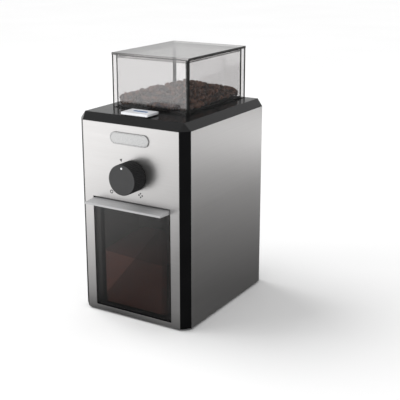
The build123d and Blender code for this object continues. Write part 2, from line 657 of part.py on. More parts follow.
def grinding_chamber():
    cup = post(CHAMBER_RADIUS, CHAMBER_BOTTOM, CHAMBER_TOP)
    cup += post(RING_TOOTH_FROM - 0.5, RING_BOTTOM - 3.1, RING_BOTTOM - 0.1)
    cup -= post(CHAMBER_BORE, CHAMBER_FLOOR, CHAMBER_TOP)
    cup -= post(8.0, CHAMBER_BOTTOM, CHAMBER_FLOOR)
    slot = block(CHAMBER_BORE - 1, CHAMBER_RADIUS + 1, -4.6, 4.6, RING_TOP + 0.6, CHAMBER_TOP)
    cup -= spokes(slot, len(TAB_ANGLES), TAB_ANGLES[0])
    outlet = block(CHAMBER_BORE - 2, CHAMBER_RADIUS + 4, -6.5, 6.5, CHAMBER_FLOOR, 151.5)
    cup -= spokes(outlet, 1, CHUTE_ANGLE)
    return cup


def chamber_cover():
    cover = post(CHAMBER_RADIUS + 2, CHAMBER_TOP, CHAMBER_TOP + 2)
    return cover - Pos(AXIS_X, AXIS_Y, CHAMBER_TOP + 1) * Box(28.6, 28.6, 2)


def chamber_pillars():
    """Three spacers that hold the chamber above the chassis, clear of the drive gear."""
    pillars = []
    for angle in (0, 130, 180):
        x = AXIS_X + 36.5 * cos(radians(angle))
        y = AXIS_Y + 36.5 * sin(radians(angle))
        stand = post(2.6, CHASSIS_TOP, CHAMBER_BOTTOM + 4, x, y)
        arm = Pos(AXIS_X, AXIS_Y, 0) * Rot(0, 0, angle) * block(CHAMBER_RADIUS, 36.5, -2.5, 2.5,
                                                                 CHAMBER_BOTTOM, CHAMBER_BOTTOM + 4)
        pillars.append(stand + arm)
    return Compound(children=pillars)


def chute_box(slack, z0, z1):
    """The chute's outer box, front left of the burrs; slack widens it into a hole."""
    size = (CHUTE_DEPTH + 2 * slack, CHUTE_WIDTH + 2 * slack)
    return Pos(CHUTE_X, CHUTE_Y, (z0 + z1) / 2) * Rot(0, 0, CHUTE_ANGLE) * Box(*size, z1 - z0)


def grounds_chute():
    low, high = OPENING_TOP - 0.4, 152.0
    chute = chute_box(0, low, high)
    throat = block(CHAMBER_RADIUS + 0.1, CHUTE_REACH - 3, -7.5, 7.5, 143.2, high)
    chute += spokes(throat, 1, CHUTE_ANGLE)
    chute -= chute_box(-1.5, low, high - 1.5)
    passage = block(CHAMBER_RADIUS - 1, CHUTE_REACH, -6.2, 6.2, 144.4, high - 1.5)
    return chute - spokes(passage, 1, CHUTE_ANGLE) - post(CHAMBER_RADIUS + 0.1, low, high)


def chassis_plate():
    plate = column(SHEET + SHELL_WALL + 1.5, CHASSIS_BOTTOM, CHASSIS_TOP)
    plate -= post(8.0, CHASSIS_BOTTOM, CHASSIS_TOP)
    plate -= post(6.0, CHASSIS_BOTTOM, CHASSIS_TOP, AXIS_X, MOTOR_Y)
    plate -= chute_box(0.4, CHASSIS_BOTTOM, CHASSIS_TOP)
    for x, y in CHASSIS_SCREWS:
        plate -= post(SCREW_RADIUS, CHASSIS_BOTTOM, CHASSIS_TOP, x, y)
    for dx in (-14, 14):
        plate -= post(SCREW_RADIUS, CHASSIS_BOTTOM, CHASSIS_TOP, AXIS_X + dx, MOTOR_Y)
    return plate


# ---- motor ----------------------------------------------------------------------
def motor_part(radius, bore, z0, z1):
    return collar(radius, bore, z0, z1, AXIS_X, MOTOR_Y)


def motor_can():
    can = post(MOTOR_RADIUS, MOTOR_BOTTOM, CHASSIS_BOTTOM, AXIS_X, MOTOR_Y)
    can -= post(MOTOR_RADIUS - 1.8, MOTOR_BOTTOM, CHASSIS_BOTTOM - 2, AXIS_X, MOTOR_Y)
    can -= post(6.0, MOTOR_BOTTOM, CHASSIS_BOTTOM, AXIS_X, MOTOR_Y)
    for dx in (-14, 14):
        can -= post(SCREW_RADIUS, MOTOR_BOTTOM, CHASSIS_BOTTOM, AXIS_X + dx, MOTOR_Y)
    return can


def motor_magnets():
    ring = motor_part(MOTOR_RADIUS - 2.0, 20.5, 74, 116)
    gap = block(AXIS_X - 6, AXIS_X + 6, MOTOR_Y - 30, MOTOR_Y + 30, 70, 120)
    return ring - gap


def motor_end_bell():
    bell = motor_part(MOTOR_RADIUS, MOTOR_SHAFT + RUNNING, 63, MOTOR_BOTTOM)
    return bell + motor_part(6.5, MOTOR_SHAFT + RUNNING, 59, 63)


def motor_brushes():
    holders = []
    for sign in (-1, 1):
        x0, x1 = sorted((AXIS_X + sign * 9.3, AXIS_X + sign * 19))
        holders.append(block(x0, x1, MOTOR_Y - 2.5, MOTOR_Y + 2.5, 67.1, 72.5))
    return Compound(children=holders)


def armature():
    core = motor_part(19.8, MOTOR_SHAFT, 78, 112)
    slot = block(11, 21, -1.3, 1.3, 77, 113)
    return core - spokes(slot, 12, 15, AXIS_X, MOTOR_Y)


def armature_windings():
    """End turns of copper, above and below the laminated core."""
    return Compound(children=[motor_part(16.0, 5.0, 112.0, 117.0), motor_part(16.0, 5.0, 74.0, 78.0)])


def commutator():
    return motor_part(9.0, MOTOR_SHAFT, 67.3, 73.0)


def motor_shaft():
    return post(MOTOR_SHAFT, 59.5, GEAR_TOP + 0.5, AXIS_X, MOTOR_Y)


def motor_bearing():
    return bearing(CHASSIS_BOTTOM - 3.5, CHASSIS_TOP, MOTOR_SHAFT, 6.0, AXIS_X, MOTOR_Y)


def motor_pinion():
    turn = 90 + 180 / PINION_TEETH
    return spur_gear(PINION_TEETH, TOOTH_SLACK, turn, GEAR_BOTTOM, GEAR_TOP, MOTOR_SHAFT, AXIS_X, MOTOR_Y)


# ---- electrics --------------------------------------------------------------------
def control_board():
    return block(-57.0, -55.4, -30, 40, 138, 188)


def board_parts():
    parts = [
        block(-55.4, -42.4, -24, -8, 142, 160),
        block(-55.4, -45.4, 4, 20, 144, 156),
        Pos(-49.4, 30, 148) * Rot(0, 90, 0) * Cylinder(5, 12),
        Pos(-50.4, -16, 174) * Rot(0, 90, 0) * Cylinder(4, 10),
        block(-55.4, -47.4, 2, 22, 170, 182),
    ]
    return Compound(children=parts)


def drawer_switch():
    body = block(-35, -15, 11.0, 17.5, 96, 106)
    return body + block(-27.2, -22.8, 9.0, 11.0, 98.8, 103.2)


def cord_inlet():
    grommet = rod_y(INLET_RADIUS, INNER_BACK, BACK_Y, INLET_X, INLET_Z)
    grommet += rod_y(INLET_RADIUS + 1.8, INNER_BACK - 3, INNER_BACK, INLET_X, INLET_Z)
    return grommet - rod_y(INLET_BORE, INNER_BACK - 3, BACK_Y, INLET_X, INLET_Z)


# ---- fasteners ----------------------------------------------------------------------
def base_screws():
    return Compound(children=[screw(x, y, BODY_BOTTOM + 0.2, 16) for x, y in CORNER_SCREWS])


def top_cover_screws():
    z_head = STEEL_TOP - 11.6
    return Compound(children=[screw(x, y, z_head, STEEL_TOP + 3.4) for x, y in CORNER_SCREWS])


def chassis_screws():
    return Compound(children=[screw(x, y, CHASSIS_TOP + 1.6, CHASSIS_BOTTOM - 9) for x, y in CHASSIS_SCREWS])


def motor_screws():
    spots = [AXIS_X - 14, AXIS_X + 14]
    return Compound(children=[screw(x, MOTOR_Y, CHASSIS_TOP + 1.6, CHASSIS_BOTTOM - 6) for x in spots])


# ---- the assembly ---------------------------------------------------------------------
def all_parts():
    parts = {
        "base_plate": base_plate(),
        **housing_frames(),
        "front_panel": front_panel(),
        "side_panel_left": side_panel(-1),
        "side_panel_right": side_panel(1),
        "rear_panel": rear_panel(),
        "top_cover": top_cover(),
        "badge_plate": badge_plate(),
        "bean_hopper": bean_hopper(),
        "hopper_funnel": hopper_funnel(),
        "hopper_lid": hopper_lid(),
        "coffee_beans": coffee_beans(),
        "grounds_container": grounds_container(),
        "container_lid": container_lid(),
        "ground_coffee": ground_coffee(),
        "container_bay": container_bay(),
        "start_button": start_button(),
        "button_window": button_window(),
        "button_spring": button_spring(),
        "start_switch": start_switch(),
        "selector_knob": selector_knob(),
        "knob_indicator": knob_indicator(),
        "selector_shaft": selector_shaft(),
        "selector_pinion": selector_pinion(),
        "selector_bush": selector_bush(),
        "selector_bracket": selector_bracket(),
        "adjusting_ring": adjusting_ring(),
        "upper_burr": upper_burr(),
        "upper_burr_carrier": upper_burr_carrier(),
        "lower_burr": lower_burr(),
        "burr_carrier": burr_carrier(),
        "burr_shaft": burr_shaft(),
        "burr_nut": burr_nut(),
        "lower_bearing": bearing(CHASSIS_BOTTOM - 1, CHASSIS_TOP + 1, SHAFT_RADIUS, 8.0, AXIS_X, AXIS_Y),
        "upper_bearing": bearing(CHAMBER_BOTTOM - 1, CHAMBER_FLOOR + 1.5, SHAFT_RADIUS, 8.0, AXIS_X, AXIS_Y),
        "drive_gear": drive_gear(),
        "grinding_chamber": grinding_chamber(),
        "chamber_cover": chamber_cover(),
        "chamber_pillars": chamber_pillars(),
        "grounds_chute": grounds_chute(),
        "chassis_plate": chassis_plate(),
        "motor_can": motor_can(),
        "motor_magnets": motor_magnets(),
        "motor_end_bell": motor_end_bell(),
        "motor_brushes": motor_brushes(),
        "armature": armature(),
        "armature_windings": armature_windings(),
        "commutator": commutator(),
        "motor_shaft": motor_shaft(),
        "motor_bearing": motor_bearing(),
        "motor_pinion": motor_pinion(),
        "control_board": control_board(),
        "board_parts": board_parts(),
        "drawer_switch": drawer_switch(),
        "cord_inlet": cord_inlet(),
        "fasteners": Compound(children=[*base_screws(), *top_cover_screws(), *chassis_screws(),
                                        *motor_screws()]),
        "rubber_feet": Compound(children=[foot(x, y) for x, y in FEET]),
    }
    return parts


os.makedirs("parts", exist_ok=True)
for node, solid in all_parts().items():
    export_step(solid, f"parts/{node}.step")
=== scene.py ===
"""Looks of a burr coffee grinder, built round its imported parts.

Each operator makes one piece or one group of like pieces, and the panel lists them in order.
Sizes are in metres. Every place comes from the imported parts' own boxes.
"""

import json
from math import cos, pi, radians, sin

import bmesh
import bpy
import numpy as np
from mathutils import Matrix, Vector


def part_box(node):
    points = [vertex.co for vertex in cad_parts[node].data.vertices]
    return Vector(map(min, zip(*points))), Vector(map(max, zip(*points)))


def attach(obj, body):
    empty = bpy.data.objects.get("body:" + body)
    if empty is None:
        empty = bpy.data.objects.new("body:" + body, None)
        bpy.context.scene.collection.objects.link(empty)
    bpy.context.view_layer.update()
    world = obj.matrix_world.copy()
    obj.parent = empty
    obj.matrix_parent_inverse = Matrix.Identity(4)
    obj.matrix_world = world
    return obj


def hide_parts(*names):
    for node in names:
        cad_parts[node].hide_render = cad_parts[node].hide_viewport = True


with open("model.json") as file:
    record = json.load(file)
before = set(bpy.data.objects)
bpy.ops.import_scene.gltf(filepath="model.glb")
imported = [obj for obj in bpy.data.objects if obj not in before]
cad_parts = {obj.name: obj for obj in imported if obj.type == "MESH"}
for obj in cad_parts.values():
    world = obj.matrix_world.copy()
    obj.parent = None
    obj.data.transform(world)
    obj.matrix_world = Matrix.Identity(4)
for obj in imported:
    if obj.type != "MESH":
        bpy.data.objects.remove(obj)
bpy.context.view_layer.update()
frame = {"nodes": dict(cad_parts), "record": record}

bl_info = {
    "name": "Burr Coffee Grinder",
    "version": (1, 0, 0),
    "blender": (4, 5, 0),
    "location": "View3D > Sidebar > Grinder",
    "description": "Builds the finished pieces of an upright burr coffee grinder",
    "category": "Add Mesh",
}

MM = 0.001
NODES = frame["nodes"]
SEED = 7

FRONT_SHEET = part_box("front_panel")
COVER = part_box("top_cover")
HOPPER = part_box("bean_hopper")
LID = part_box("hopper_lid")
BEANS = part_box("coffee_beans")
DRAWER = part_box("grounds_container")
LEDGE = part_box("container_lid")
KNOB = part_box("selector_knob")
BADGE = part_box("badge_plate")
SLOTS = {part["node"]: part["material_slot"] for part in frame["record"]["subparts"]}

FRONT_Y = FRONT_SHEET[0].y
BODY_TOP = FRONT_SHEET[1].z
COVER_TOP = BODY_TOP + (COVER[1].z - COVER[0].z)
KNOB_CENTRE = (KNOB[0] + KNOB[1]) / 2
SHAFT_HOLE = 8 * MM

# hopper walls, and the strips beside their upright corners, painted dark for the way light bends through the
# clear corners
HOPPER_WALL = 3 * MM
OUTER_CORNER = 1.1 * MM
INNER_CORNER = 1.0 * MM
CORNER_STRIP = 2.2 * MM

# heap of beans: it rises to the right as far as its peak, and falls away to the back
HEAP_PEAK = Vector((BEANS[1].x - 7.2 * MM, BEANS[0].y, BEANS[1].z))
HEAP_RISE = 0.29
HEAP_FALL = -0.10
HEAP_LEAN = 0.216
HEAP_BRINK = 97 * MM
HEAP_END = 1.1
HEAP_LOWEST = BEANS[0].z + 5 * MM
BEAN_LAYER = 7 * MM

# a bean's breadth and thickness for a length of one, and how far its flat side is pressed in
BEAN_BREADTH = 0.72
BEAN_THICKNESS = 0.56
BEAN_FLAT = 0.62
BEAN_REACH = 0.36

# lights, and where the camera stands
SKY = 0.7
SUN = 1.5
EYE = Vector((473.9, -728.6, 375.1)) * MM
EYE_PITCH = 90 - 15.57
EYE_TURN = 31.0
EYE_SHIFT = -0.06

# a face this square to an axis counts as flat on it
SQUARE_ON = 0.999


# ---- settings ---------------------------------------------------------------
class GrinderSizes(bpy.types.PropertyGroup):
    edge: bpy.props.FloatProperty(
        name="Edge", description="Rounding of the moulded edges",
        default=0.35 * MM, min=0.05 * MM, max=1.5 * MM, subtype="DISTANCE")
    sheet_edge: bpy.props.FloatProperty(
        name="Sheet Edge", description="Rounding of the steel sheets' edges",
        default=0.18 * MM, min=0.05 * MM, max=0.4 * MM, subtype="DISTANCE")
    opening_gap: bpy.props.FloatProperty(
        name="Opening Gap", description="Gap between the drawer and the opening it slides in",
        default=0.6 * MM, min=0.2 * MM, max=2 * MM, subtype="DISTANCE")
    flutes: bpy.props.IntProperty(
        name="Flutes", description="Grip flutes round the knob", default=48, min=12, max=96)
    flute_depth: bpy.props.FloatProperty(
        name="Flute Depth", description="How deep each flute is cut",
        default=0.42 * MM, min=0.1 * MM, max=1 * MM, subtype="DISTANCE")
    bean_length: bpy.props.FloatProperty(
        name="Bean Length", description="Length of a roasted bean",
        default=11 * MM, min=6 * MM, max=14 * MM, subtype="DISTANCE")
    bean_count: bpy.props.IntProperty(
        name="Beans", description="Beans that show on the outside of the heap",
        default=520, min=100, max=1200)
    lens: bpy.props.FloatProperty(
        name="Lens", description="Focal length of the camera",
        default=78.4, min=20, max=200, unit="CAMERA")


class GrinderColours(bpy.types.PropertyGroup):
    steel: bpy.props.FloatVectorProperty(
        name="Steel", description="Brushed steel sheets",
        default=(0.60, 0.59, 0.585), size=3, min=0, max=1, subtype="COLOR")
    cover: bpy.props.FloatVectorProperty(
        name="Cover", description="Black cover and frames",
        default=(0.005, 0.005, 0.0055), size=3, min=0, max=1, subtype="COLOR")
    knob: bpy.props.FloatVectorProperty(
        name="Knob", description="Soft black of the knob",
        default=(0.035, 0.035, 0.036), size=3, min=0, max=1, subtype="COLOR")
    bean: bpy.props.FloatVectorProperty(
        name="Bean", description="Roasted bean",
        default=(0.105, 0.040, 0.018), size=3, min=0, max=1, subtype="COLOR")
    smoke: bpy.props.FloatVectorProperty(
        name="Smoke", description="Tint of the drawer's smoked plastic",
        default=(0.74, 0.725, 0.715), size=3, min=0, max=1, subtype="COLOR")
    clear: bpy.props.FloatVectorProperty(
        name="Clear", description="Tint of the hopper's clear plastic",
        default=(0.905, 0.90, 0.90), size=3, min=0, max=1, subtype="COLOR")


def sizes():
    return bpy.context.scene.grinder_sizes


def colours():
    return bpy.context.scene.grinder_colours


# ---- materials --------------------------------------------------------------
def blank_material(name):
    """A new material with its node tree and its shader."""
    material = bpy.data.materials.new(name)
    material.use_nodes = True
    tree = material.node_tree
    shader = tree.nodes["Principled BSDF"]
    return material, tree, shader


def add_node(tree, kind, inputs=None, **settings):
    """Adds a node with its settings, and its input values by name."""
    node = tree.nodes.new(kind)
    for key, value in settings.items():
        setattr(node, key, value)
    for key, value in (inputs or {}).items():
        node.inputs[key].default_value = value
    return node


def pattern(tree, scale, detail=3.0, stretch=(1, 1, 1), kind="noise"):
    """A noise or cell pattern on the piece's own coordinates, scale in cells per metre."""
    place = add_node(tree, "ShaderNodeTexCoord")
    mapping = add_node(tree, "ShaderNodeMapping", {"Scale": stretch})
    tree.links.new(place.outputs["Object"], mapping.inputs["Vector"])
    if kind == "noise":
        texture = add_node(tree, "ShaderNodeTexNoise", {"Scale": scale, "Detail": detail})
        out = texture.outputs["Fac"]
    else:
        texture = add_node(tree, "ShaderNodeTexVoronoi", {"Scale": scale})
        out = texture.outputs["Distance"]
    tree.links.new(mapping.outputs["Vector"], texture.inputs["Vector"])
    return out


def vary_colour(tree, shader, factor, colour, spread):
    """Lets the colour wander a little each side of its middle."""
    band = add_node(tree, "ShaderNodeValToRGB")
    low, high = band.color_ramp.elements
    low.position, high.position = 0.3, 0.7
    low.color = [c * (1 - spread) for c in colour] + [1]
    high.color = [min(c * (1 + spread), 1) for c in colour] + [1]
    tree.links.new(factor, band.inputs["Fac"])
    tree.links.new(band.outputs["Color"], shader.inputs["Base Color"])


def vary_roughness(tree, shader, factor, low, high):
    limits = {"From Min": 0.3, "From Max": 0.7, "To Min": low, "To Max": high}
    span = add_node(tree, "ShaderNodeMapRange", limits)
    tree.links.new(factor, span.inputs["Value"])
    tree.links.new(span.outputs["Result"], shader.inputs["Roughness"])


def add_bump(tree, shader, height, depth):
    bump = add_node(tree, "ShaderNodeBump", {"Strength": 1.0, "Distance": depth})
    tree.links.new(height, bump.inputs["Height"])
    tree.links.new(bump.outputs["Normal"], shader.inputs["Normal"])


def moulded(name, colour, rough=(0.35, 0.5), grain=2600, depth=0.02 * MM, coat=0.0, spread=0.15,
            shine=0.5, ior=1.5):
    """Moulded plastic or rubber: fine grain, with colour and gloss that wander slowly."""
    material, tree, shader = blank_material(name)
    shader.inputs["Coat Weight"].default_value = coat
    shader.inputs["Coat Roughness"].default_value = 0.12
    shader.inputs["Specular IOR Level"].default_value = shine
    shader.inputs["IOR"].default_value = ior
    wide = pattern(tree, 45)
    vary_colour(tree, shader, wide, colour, spread)
    vary_roughness(tree, shader, wide, *rough)
    add_bump(tree, shader, pattern(tree, grain, detail=2), depth)
    return material


def metal(name, colour, rough=(0.25, 0.4), stretch=(1, 1, 1), grain=900, depth=0.01 * MM, spread=0.08,
          share=1.0):
    """Metal or metal-look paint, with its grain stretched along the way it was worked."""
    material, tree, shader = blank_material(name)
    shader.inputs["Metallic"].default_value = share
    fine = pattern(tree, grain, detail=4, stretch=stretch)
    vary_colour(tree, shader, fine, colour, spread)
    vary_roughness(tree, shader, fine, *rough)
    add_bump(tree, shader, fine, depth)
    return material


def brushed_steel():
    """Sheet steel brushed along the level, in long fine lines."""
    return metal("brushed_steel", colours().steel, rough=(0.28, 0.38), stretch=(0.003, 0.003, 1.0),
                 grain=2600, depth=0.003 * MM, spread=0.035)


def see_through(name, tint, shine, haze, haze_colour):
    """Clear plastic: what is behind shows through its tint, under a mirror skin and a little haze.

    shine is the share mirrored face on; towards a glancing view the share grows to one.
    """
    material, tree, shader = blank_material(name)
    shader.inputs["Metallic"].default_value = 1.0
    vary_colour(tree, shader, pattern(tree, 30), (0.93, 0.93, 0.93), 0.03)
    vary_roughness(tree, shader, pattern(tree, 160), 0.03, 0.08)
    clear = add_node(tree, "ShaderNodeBsdfTransparent", {"Color": (*tint, 1)})
    cloudy = add_node(tree, "ShaderNodeBsdfDiffuse", {"Color": (*haze_colour, 1)})
    body = add_node(tree, "ShaderNodeMixShader", {"Fac": haze})
    tree.links.new(clear.outputs["BSDF"], body.inputs[1])
    tree.links.new(cloudy.outputs["BSDF"], body.inputs[2])
    view = add_node(tree, "ShaderNodeLayerWeight", {"Blend": 0.5})
    steep = add_node(tree, "ShaderNodeMath", operation="POWER")
    steep.inputs[1].default_value = 5
    skin = add_node(tree, "ShaderNodeMapRange", {"To Min": shine, "To Max": 1.0})
    tree.links.new(view.outputs["Facing"], steep.inputs[0])
    tree.links.new(steep.outputs["Value"], skin.inputs["Value"])
    mix = add_node(tree, "ShaderNodeMixShader")
    tree.links.new(skin.outputs["Result"], mix.inputs["Fac"])
    tree.links.new(body.outputs["Shader"], mix.inputs[1])
    tree.links.new(shader.outputs["BSDF"], mix.inputs[2])
    tree.links.new(mix.outputs["Shader"], tree.nodes["Material Output"].inputs["Surface"])
    return material


def roasted_bean():
    """Roasted bean skin: each bean has its own shade, with a slight oil sheen."""
    material, tree, shader = blank_material("roasted_bean")
    shade = add_node(tree, "ShaderNodeAttribute", attribute_name="bean_shade")
    vary_colour(tree, shader, shade.outputs["Fac"], colours().bean, 0.55)
    vary_roughness(tree, shader, pattern(tree, 500), 0.28, 0.5)
    shader.inputs["Coat Weight"].default_value = 0.25
    shader.inputs["Coat Roughness"].default_value = 0.3
    add_bump(tree, shader, pattern(tree, 1500, detail=5), 0.12 * MM)
    return material


def ground_coffee_powder():
    """Coarse ground coffee: dark and light grains."""
    material, tree, shader = blank_material("ground_coffee_powder")
    grains = pattern(tree, 1400, kind="cells")
    vary_colour(tree, shader, grains, (0.13, 0.034, 0.019), 0.6)
    vary_roughness(tree, shader, grains, 0.75, 0.95)
    add_bump(tree, shader, grains, 0.5 * MM)
    return material


def wound_copper():
    """Enamelled wire laid side by side."""
    material, tree, shader = blank_material("wound_copper")
    shader.inputs["Metallic"].default_value = 1.0
    shader.inputs["Coat Weight"].default_value = 0.6
    strands = pattern(tree, 1.0, stretch=(900, 900, 120))
    vary_colour(tree, shader, strands, (0.55, 0.20, 0.09), 0.35)
    vary_roughness(tree, shader, strands, 0.2, 0.4)
    add_bump(tree, shader, strands, 0.2 * MM)
    return material


def laminated_core():
    """Stacked iron sheets, level and very fine."""
    return metal("laminated_core", (0.20, 0.20, 0.205), rough=(0.4, 0.6), stretch=(0.02, 0.02, 1),
                 grain=1600, depth=0.08 * MM, spread=0.3)


def make_finishes():
    """One material for each slot of the record, by slot name."""
    c = colours()
    turned = dict(stretch=(0.05, 0.05, 1), grain=2000)
    return {
        "black_plastic": moulded("black_plastic", c.cover, (0.38, 0.5), shine=0.3, ior=1.15),
        "cover_black": moulded("cover_black", c.cover, (0.16, 0.24), grain=1500, depth=0.006 * MM,
                               shine=0.36),
        "brushed_steel": brushed_steel(),
        "silver_plastic": metal("silver_plastic", (0.50, 0.50, 0.505), (0.3, 0.42), grain=3500, share=0.25),
        "badge_metal": metal("badge_metal", (0.43, 0.43, 0.43), (0.2, 0.3), grain=3000),
        "smoked_clear": see_through("smoked_clear", c.clear, 0.07, 0.02, (0.6, 0.58, 0.57)),
        # the hopper's sides: a darker, less hazy copy of the clear plastic, as painted shade
        "hopper_side_painted_shade": see_through("hopper_side_painted_shade", (0.83, 0.825, 0.825), 0.012, 0.01, (0.4, 0.38, 0.37)),
        "smoked_dark": see_through("smoked_dark", c.smoke, 0.05, 0.008, (0.3, 0.28, 0.28)),
        "white_plastic": moulded("white_plastic", (0.86, 0.87, 0.90), (0.16, 0.24), coat=0.3, spread=0.02),
        "blue_window": moulded("blue_window", (0.05, 0.20, 0.48), (0.08, 0.14), coat=0.8, spread=0.2),
        "knob_black": moulded("knob_black", c.knob, (0.42, 0.52), grain=2200, depth=0.03 * MM),
        # the knob's sides: a darker, duller copy of its black, as painted shade
        "knob_side_painted_shade": moulded("knob_side_painted_shade", (0.007, 0.007, 0.0075), (0.4, 0.5), grain=2200, shine=0.25),
        "indicator_white": moulded("indicator_white", (0.9, 0.9, 0.9), (0.3, 0.4), spread=0.02),
        "gear_plastic": moulded("gear_plastic", (0.74, 0.72, 0.65), (0.4, 0.5), spread=0.05),
        "burr_steel": metal("burr_steel", (0.32, 0.32, 0.33), (0.3, 0.45), grain=1800, depth=0.03 * MM),
        "machined_steel": metal("machined_steel", (0.50, 0.50, 0.51), (0.2, 0.32), **turned),
        "zinc_steel": metal("zinc_steel", (0.56, 0.57, 0.58), (0.3, 0.5), grain=180, spread=0.2),
        "bronze": metal("bronze", (0.50, 0.33, 0.16), (0.35, 0.55), grain=1200, spread=0.2),
        "copper": wound_copper(),
        "core_steel": laminated_core(),
        "magnet_ferrite": moulded("magnet_ferrite", (0.035, 0.035, 0.04), (0.6, 0.75), grain=700),
        "board_green": moulded("board_green", (0.015, 0.12, 0.04), (0.25, 0.4), coat=0.4, spread=0.35),
        "component_black": moulded("component_black", (0.025, 0.025, 0.03), (0.35, 0.5)),
        "foot_rubber": moulded("foot_rubber", (0.018, 0.018, 0.018), (0.7, 0.85), grain=1800,
                               depth=0.04 * MM),
        "bean_brown": roasted_bean(),
        "ground_brown": ground_coffee_powder(),
        # edges of the clear plastic painted nearly black, for the way light bends through them
        "painted_dark_edge": see_through("painted_dark_edge", (0.10, 0.095, 0.09), 0.02, 0.5, (0.015, 0.015, 0.015)),
        "lid_sheet": see_through("lid_sheet", (0.80, 0.79, 0.785), 0.05, 0.22, (0.42, 0.42, 0.42)),
    }


FINISH = {}


# ---- mesh helpers -----------------------------------------------------------
def finish_piece(name, bm, body, slot, replaces=(), looks=None):
    """Turns a bmesh into a piece that rides on a body, smooth except over its sharper edges."""
    mesh = bpy.data.meshes.new(name)
    bm.to_mesh(mesh)
    bm.free()
    mesh.polygons.foreach_set("use_smooth", [True] * len(mesh.polygons))
    mesh.set_sharp_from_angle(angle=radians(50))
    piece = bpy.data.objects.new(name, mesh)
    bpy.context.scene.collection.objects.link(piece)
    for look in looks or (slot,):
        mesh.materials.append(FINISH[look])
    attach(piece, body)
    if replaces:
        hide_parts(*replaces)
    return piece


def even_shading(piece):
    """Keeps broad flat faces flat beside their rounded edges. Gives back the piece."""
    modifier = piece.modifiers.new("Even Shading", "WEIGHTED_NORMAL")
    modifier.keep_sharp = True
    return piece


def sharp_edges(bm, angle=40):
    return [e for e in bm.edges if len(e.link_faces) == 2 and e.calc_face_angle(0) > radians(angle)]


def round_edges(bm, edges, width, segments=2):
    """Bevels the edges and gives back the new faces."""
    made = bmesh.ops.bevel(bm, geom=edges, offset=width, offset_type="OFFSET", affect="EDGES",
                           segments=segments, profile=0.5, material=-1, clamp_overlap=True)
    return made["faces"]


def plate(loops, thickness):
    """A flat plate with holes: the first loop is its outline, and thickness is a vector."""
    bm = bmesh.new()
    edges = []
    for loop in loops:
        verts = [bm.verts.new(p) for p in loop]
        edges += [bm.edges.new((a, b)) for a, b in zip(verts, verts[1:] + verts[:1])]
    if len(loops) == 1:
        bm.faces.new(bm.verts)
    else:
        bmesh.ops.triangle_fill(bm, edges=edges, use_beauty=True, use_dissolve=False)
    grown = bmesh.ops.extrude_face_region(bm, geom=bm.faces[:])
    raised = [g for g in grown["geom"] if isinstance(g, bmesh.types.BMVert)]
    bmesh.ops.translate(bm, verts=raised, vec=thickness)
    bmesh.ops.recalc_face_normals(bm, faces=bm.faces[:])
    return bm


def block(low, high):
    """A box between two corners."""
    bm = bmesh.new()
    size = Vector(high) - Vector(low)
    middle = (Vector(high) + Vector(low)) / 2
    bmesh.ops.create_cube(bm, size=1, matrix=Matrix.Translation(middle) @ Matrix.Diagonal((*size, 1)))
    return bm


def rectangle(x0, x1, z0, z1, y):
    return [Vector((x0, y, z0)), Vector((x1, y, z0)), Vector((x1, y, z1)), Vector((x0, y, z1))]


def ring(x, z, radius, y, count=48):
    """A round loop on an upright plane facing the front."""
    return [Vector((x + radius * cos(2 * pi * k / count), y, z + radius * sin(2 * pi * k / count)))
            for k in range(count)]


def rounded_rectangle(low, high, inset, radius, z, count=5):
    """A level loop inside a box, drawn in by inset, with round corners."""
    loop = []
    for k, (sx, sy) in enumerate(((1, 1), (-1, 1), (-1, -1), (1, -1))):
        x = (high.x if sx > 0 else low.x) - sx * (inset + radius)
        y = (high.y if sy > 0 else low.y) - sy * (inset + radius)
        for step in range(count + 1):
            turn = pi / 2 * (k + step / count)
            loop.append(Vector((x + radius * cos(turn), y + radius * sin(turn), z)))
    return loop


def stadium(x, z, half_width, half_height, y, count=14):
    """A loop with straight sides and round ends."""
    loop = []
    for k in range(2 * count):
        turn = pi * (k + 0.5) / count - pi / 2
        shift = (half_width - half_height) * (1 if cos(turn) > 0 else -1)
        loop.append(Vector((x + shift + half_height * cos(turn), y, z + half_height * sin(turn))))
    return loop


def merged_copy(node):
    """A copy of a CAD part's mesh, joined up and with its flat faces whole."""
    bm = bmesh.new()
    bm.from_mesh(NODES[node].data)
    bmesh.ops.remove_doubles(bm, verts=bm.verts[:], dist=0.002 * MM)
    bmesh.ops.dissolve_limit(bm, angle_limit=radians(0.6), verts=bm.verts[:], edges=bm.edges[:])
    return bm


def refined(node, body, width=None, segments=2, looks=None):
    """A CAD part again, with its edges rounded. A second look, if given, goes on those roundings."""
    bm = merged_copy(node)
    for face in round_edges(bm, sharp_edges(bm), width or sizes().edge, segments):
        face.material_index = 1 if looks else 0
    return even_shading(finish_piece(f"{node}_shell", bm, body, SLOTS[node], (node,), looks))


# ---- casing -----------------------------------------------------------------
class GRINDER_OT_finishes(bpy.types.Operator):
    """Make every finish and give it to the parts that keep their own shape"""

    bl_idname = "grinder.finishes"
    bl_label = "Finishes"

    def execute(self, context):
        FINISH.update(make_finishes())
        for node, part in NODES.items():
            part.data.materials.clear()
            part.data.materials.append(FINISH[SLOTS[node]])
        return {"FINISHED"}


